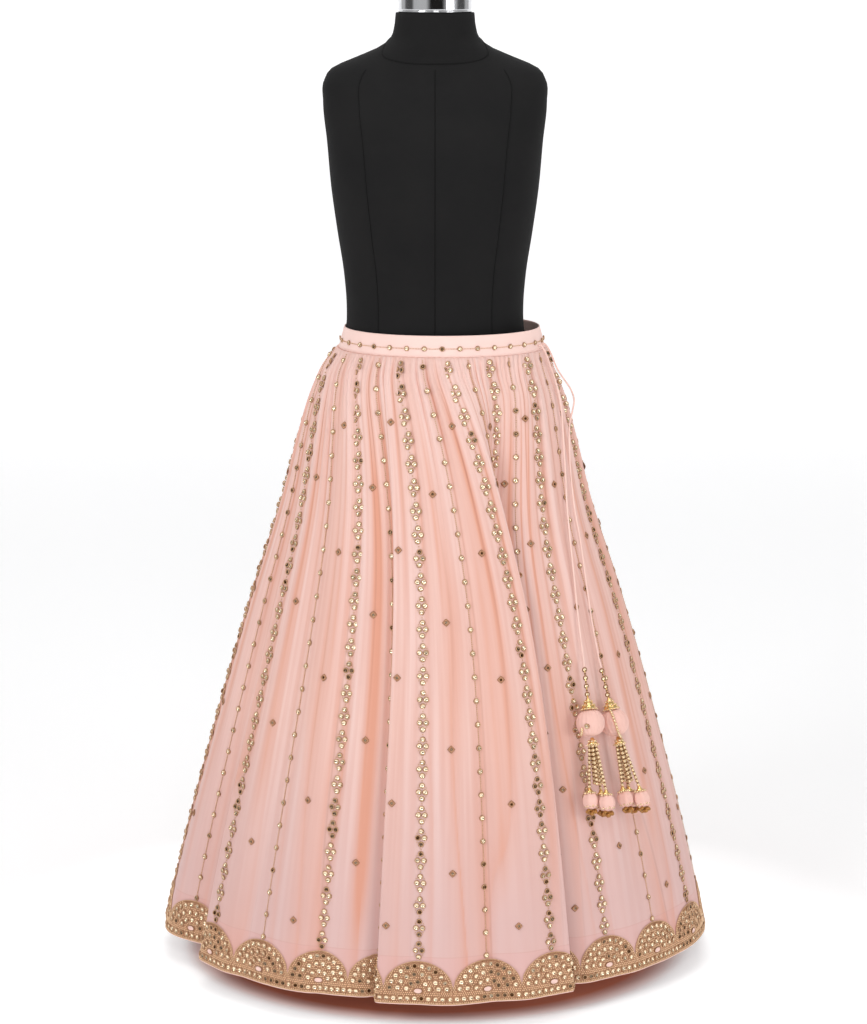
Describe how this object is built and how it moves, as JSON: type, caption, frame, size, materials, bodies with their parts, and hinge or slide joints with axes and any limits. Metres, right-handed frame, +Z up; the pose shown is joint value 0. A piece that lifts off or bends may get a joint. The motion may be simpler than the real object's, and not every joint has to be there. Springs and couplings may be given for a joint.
{
  "type": "lehenga skirt on a dress form",
  "caption": "Flared, gathered lehenga skirt with a scalloped mirror-work hem and tasselled drawstring, on a limbless dress form with a round base.",
  "frame": {"origin": "centre of the underside of the form's round base, on the floor", "axes": "+Z up; the front of the skirt faces -Y; the drawstring side, the wearer's left, is +X"},
  "size_m": [0.9136, 0.7157, 1.5963],
  "materials": {
    "blush_georgette": "matt, sheer",
    "gold_thread": "dense metallic thread with small mirrors",
    "gold_bead": "polished",
    "black_cloth": "matt",
    "painted_metal": "satin black",
    "chrome": "polished"
  },
  "bodies": {
    "root": {"drawstring_tail_a": "blush_georgette", "drawstring_tail_b": "blush_georgette", "form_base": "painted_metal", "form_pole": "painted_metal", "form_torso": "black_cloth", "hem_border": "gold_thread", "kali_01": "blush_georgette", "kali_02": "blush_georgette", "kali_03": "blush_georgette", "kali_04": "blush_georgette", "kali_05": "blush_georgette", "kali_06": "blush_georgette", "kali_07": "blush_georgette", "kali_08": "blush_georgette", "kali_09": "blush_georgette", "kali_10": "blush_georgette", "neck_cap": "chrome", "tassel_a_ball": "blush_georgette", "tassel_a_beads": "gold_bead", "tassel_a_strands": "gold_bead", "tassel_b_ball": "blush_georgette", "tassel_b_beads": "gold_bead", "tassel_b_strands": "gold_bead", "waistband": "blush_georgette"}
  },
  "joints": []
}
